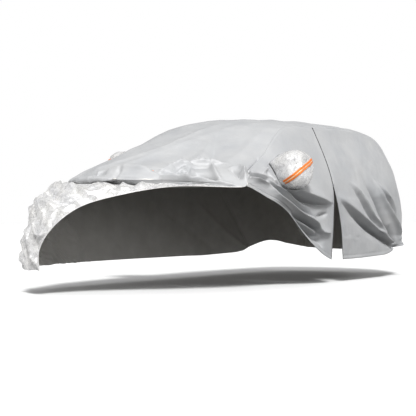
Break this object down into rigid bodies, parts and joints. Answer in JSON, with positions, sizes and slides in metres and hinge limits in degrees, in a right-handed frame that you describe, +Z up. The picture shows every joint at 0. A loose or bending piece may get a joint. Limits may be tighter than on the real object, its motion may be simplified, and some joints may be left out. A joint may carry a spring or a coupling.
{
  "type": "car cover",
  "caption": "Padded silver cover for a small hatchback, drawn back from its front left corner, with crinkled foil mirror pockets and an open door zip.",
  "frame": {"origin": "under the top panel above the middle of the car's roof, where the roof carries the cover", "axes": "+Z up, -Y towards the car's nose, +X towards the car's left side, which is the side with the zip"},
  "size_m": [2.2138, 4.5263, 1.3715],
  "materials": {
    "silver_cloth": "smooth silver-grey coated padded cloth, soft sheen",
    "foil_cloth": "crinkled bright silver foil-faced padded cloth",
    "reflective_tape": "orange reflective tape with a thin silver line",
    "zip_black": "black coil zip and tape",
    "slider_metal": "dull grey metal"
  },
  "bodies": {
    "root": {"top_panel": "silver_cloth", "front_panel": "foil_cloth", "right_panel": "silver_cloth", "left_front_panel": "silver_cloth", "left_rear_panel": "silver_cloth", "mirror_pocket_left": "foil_cloth", "mirror_pocket_right": "foil_cloth", "reflective_strip_left": "reflective_tape", "reflective_strip_right": "reflective_tape", "reflective_strip_front": "reflective_tape", "zip_chain": "zip_black", "zip_half_front": "zip_black", "zip_half_rear": "zip_black", "zip_slider": "slider_metal"}
  },
  "joints": []
}
